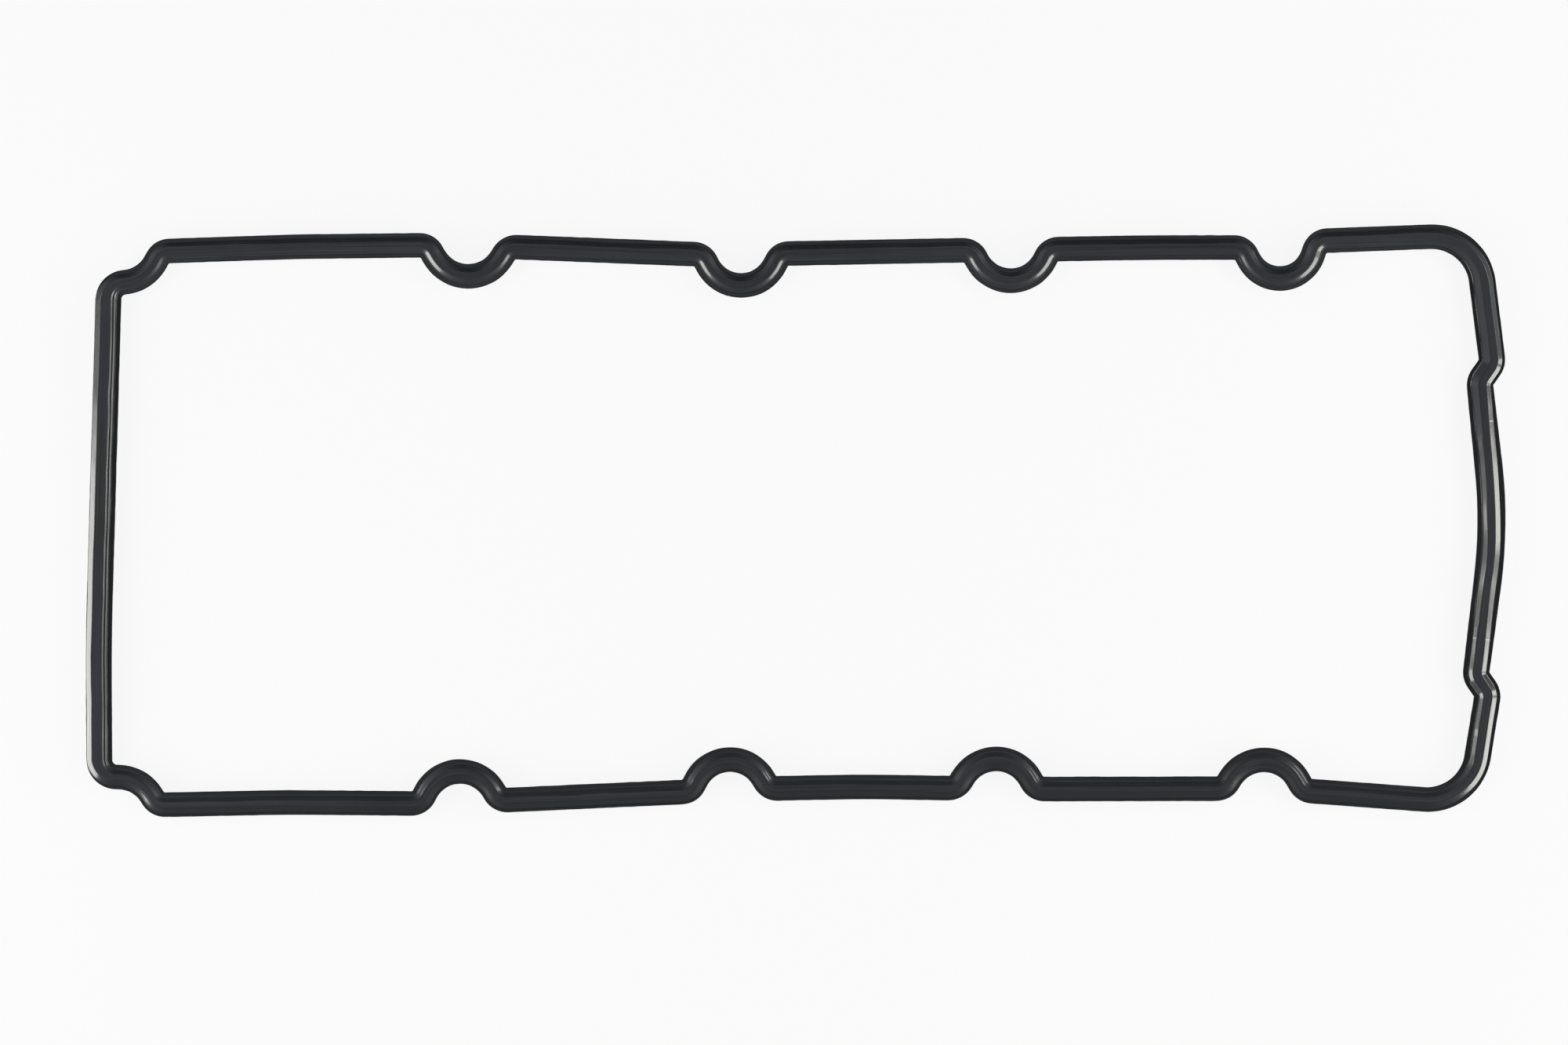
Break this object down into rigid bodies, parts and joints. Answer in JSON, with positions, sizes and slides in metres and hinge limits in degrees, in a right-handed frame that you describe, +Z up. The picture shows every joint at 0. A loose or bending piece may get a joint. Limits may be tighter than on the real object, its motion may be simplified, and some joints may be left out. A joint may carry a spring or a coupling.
{
  "type": "valve cover gasket",
  "caption": "Long rectangular ring of moulded black rubber strip with a raised sealing face, half-round notches in both long runs and one bowed end.",
  "frame": {"origin": "middle of the ring's outline, on the plane that it rests on", "axes": "+X along the row of cylinders towards the bowed end, +Z up through the ring, from the flat face to the raised face"},
  "size_m": [0.4528, 0.189, 0.005],
  "materials": {
    "rubber": "satin moulded rubber"
  },
  "bodies": {
    "root": {"gasket": "rubber"}
  },
  "joints": []
}
